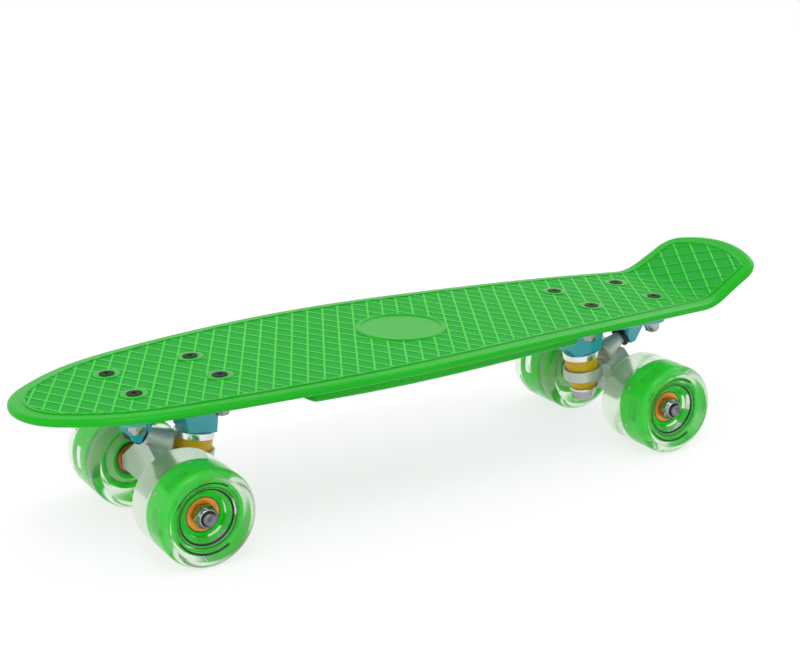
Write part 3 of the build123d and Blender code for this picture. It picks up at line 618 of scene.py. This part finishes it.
def printRings(end, side):
    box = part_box(f"{end}_{side}_tyre")
    (y0, r0), (y1, r1) = tyre["dish"]
    slope = (y1 - y0) / (r1 - r0)
    start = abs(box[0].y + box[1].y) / 2 + (y0 - slope * r0) * mm
    meshes = [band(box, side, start, slope, finish["printInk"], radius, width, arc, rings["lift"])
              for radius, width, arc in rings["bands"]]
    obj = addPiece(f"{end}_{side}_print", meshes, finish["printInk"], f"{end}_{side}_wheel")
    wall = obj.modifiers.new("ink", "SOLIDIFY")
    wall.thickness = rings["thickness"] * mm
    wall.offset = 0


# Painted shield rim over the inner part of each outer race's face
shieldRim = {"radius": 9.15, "width": 1.6, "arc": (0, 360), "lift": 0.05}


def paintShield(end, side):
    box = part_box(f"{end}_{side}_bearing_outer_races")
    face = max(abs(corner.y) for corner in box)
    mesh = band(box, side, face, 0.0, finish["shieldPaint"], **shieldRim)
    addPiece(f"{end}_{side}_shield_rim", [mesh], finish["shieldPaint"], f"{end}_{side}_wheel")


for makeBands in (printRings, paintShield):
    for end in ends:
        for side in sides:
            makeBands(end, side)
print("wheel print and shield rims made")

# Nylon rings in the lock nuts and the rounded rim round the deck's badge, one hoop tree for both; the nylon rings
# are black as painted shade in the gap round the axle end
hoopTree, hoopIn, hoopOut = newTree("hoop", {
    "Radius": "Float", "Thickness": "Float", "Place": "Vector", "Turn": "Vector",
    "Steps": "Int", "Sides": "Int", "Finish": "Material",
})
hoopLine = wire(hoopTree, "GeometryNodeCurvePrimitiveCircle", Resolution=hoopIn["Steps"], Radius=hoopIn["Radius"])
hoopSection = wire(hoopTree, "GeometryNodeCurvePrimitiveCircle",
                   Resolution=hoopIn["Sides"], Radius=hoopIn["Thickness"])
hoopTube = wire(hoopTree, "GeometryNodeCurveToMesh", Curve=hoopLine.outputs[0],
                Profile_Curve=hoopSection.outputs[0])
hoopPlace = wire(hoopTree, "GeometryNodeTransform", Geometry=hoopTube.outputs[0],
                 Translation=hoopIn["Place"], Rotation=hoopIn["Turn"])
closeTree(hoopTree, hoopPlace.outputs[0], hoopIn["Finish"], hoopOut)

badge = {"radius": 27.6, "thickness": 1.2, "sink": 0.75, "steps": 120, "turn": (0.0, 0.0, 0.0)}
nylonShade = {"radius": 4.45, "thickness": 0.5, "steps": 40, "turn": (math.pi / 2, 0.0, 0.0)}
hoopSides = 10


def hoop(sizes, place, material):
    return runTree(hoopTree, {
        "Radius": sizes["radius"] * mm, "Thickness": sizes["thickness"] * mm, "Place": place,
        "Turn": sizes["turn"], "Steps": sizes["steps"], "Sides": hoopSides, "Finish": material,
    })


badgeTop = max(
    topHit((grid["middle"] + x * badge["radius"]) * mm, y * badge["radius"] * mm)[0].z
    for x, y in ((1, 0), (0, 1), (-1, 0), (0, -1))
)
badgeHoop = hoop(badge, (grid["middle"] * mm, 0.0, badgeTop - badge["sink"] * mm), finish["deckPlastic"])
addPiece("deck_badge_ring", [badgeHoop], finish["deckPlastic"], "board")

for end in ends:
    low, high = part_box(f"{end}_axle_nuts")
    # black hoops where the nylon insert sits, as painted shade in the gap between axle end and nut
    inserts = [hoop(nylonShade, ((low.x + high.x) / 2, y, (low.z + high.z) / 2), finish["riserRubber"])
               for y in (low.y, high.y)]
    addPiece(f"{end}_nylon_rings", inserts, finish["riserRubber"], f"{end}_truck")
print("badge ring and nylon rings made")

# Light: white sky and three soft discs that face the board
lamps = {
    "key": {"place": (0.6, 1.0, 2.2), "size": 1.2, "power": 14.0},
    "fill": {"place": (1.8, 0.3, 0.9), "size": 1.2, "power": 4.0},
    "back": {"place": (-1.5, -0.6, 1.5), "size": 1.2, "power": 7.0},
}
sky = {"strength": 1.0, "white": 1.0}
lampTarget = Vector((0, 0, 0.05))

for name, lamp in lamps.items():
    data = bpy.data.lights.new(name, "AREA")
    data.shape = "DISK"
    data.size = lamp["size"]
    data.energy = lamp["power"]
    obj = addObject(name, data)
    obj.location = lamp["place"]
    obj.rotation_euler = (lampTarget - Vector(lamp["place"])).to_track_quat("-Z", "Y").to_euler()


def whiteToCamera(tree, surface, output, share):
    # white where the camera, a reflection or clear plastic sees it; a share under 1 keeps the shadow
    rays = tree.nodes.new("ShaderNodeLightPath").outputs
    seen = rays["Is Camera Ray"]
    for label in ("Is Glossy Ray", "Is Transmission Ray"):
        seen = maths(tree, "MAXIMUM", seen, rays[label])
    isSky = output.bl_idname == "ShaderNodeOutputWorld"
    white = wire(tree, "ShaderNodeBackground" if isSky else "ShaderNodeEmission", Color=(1, 1, 1, 1), Strength=1.0)
    mix = wire(tree, "ShaderNodeMixShader", i0=maths(tree, "MULTIPLY", seen, share), i1=surface,
               i2=white.outputs[0])
    tree.links.new(mix.outputs[0], output.inputs["Surface"])


world = bpy.data.worlds.new("studio")
bpy.context.scene.world = world
world.use_nodes = True
skyTree = world.node_tree
skyNode = wire(skyTree, skyTree.nodes["Background"], Color=(1, 1, 1, 1), Strength=sky["strength"])
whiteToCamera(skyTree, skyNode.outputs[0], skyTree.nodes["World Output"], sky["white"])

# Floor, clear from below so that a view from there shows the object
floor = {
    "size": 60.0, "white": 0.74,
    "paper": {"color": (0.97, 0.97, 0.97), "drift": (0.995, 1.0), "rough": (0.85, 0.9, 0.95), "grain": (3, 60),
              "bump": 0.01},
}
half = floor["size"] / 2
ground = addObject("ground", plainMesh(
    "ground", [(-half, -half, 0), (half, -half, 0), (half, half, 0), (-half, half, 0)], [], [(0, 1, 2, 3)]))
paper = makeFinish("paper", **floor["paper"])
paperTree = paper.node_tree
paperEnd = paperTree.nodes["Material Output"]
whiteToCamera(paperTree, paperTree.nodes["Principled BSDF"].outputs[0], paperEnd, floor["white"])
oneSided = wire(paperTree, "ShaderNodeMixShader",
                i0=paperTree.nodes.new("ShaderNodeNewGeometry").outputs["Backfacing"],
                i1=paperEnd.inputs["Surface"].links[0].from_socket,
                i2=paperTree.nodes.new("ShaderNodeBsdfTransparent").outputs[0])
paperTree.links.new(oneSided.outputs[0], paperEnd.inputs["Surface"])
paint(ground, paper)

# Camera, fitted to the photograph: degrees, metres and mm of lens
view = {
    "azimuth": 148.304, "elevation": 17.031, "distance": 1.05556,
    "target": (0.00844, 0.0, 0.09842), "lens": 74.57, "sensor": 36.0,
}
azimuth, elevation = math.radians(view["azimuth"]), math.radians(view["elevation"])
back = Vector((math.sin(azimuth) * math.cos(elevation), -math.cos(azimuth) * math.cos(elevation),
               math.sin(elevation)))
camera = bpy.data.cameras.new("camera")
camera.lens = view["lens"]
camera.sensor_width = view["sensor"]
camera.clip_start = 0.01
camera.clip_end = 50
cameraObject = addObject("camera", camera)
cameraObject.location = Vector(view["target"]) + back * view["distance"]
cameraObject.rotation_euler = back.to_track_quat("Z", "Y").to_euler()
bpy.context.scene.camera = cameraObject
bpy.context.scene.view_settings.view_transform = "Standard"
print("stage ready")
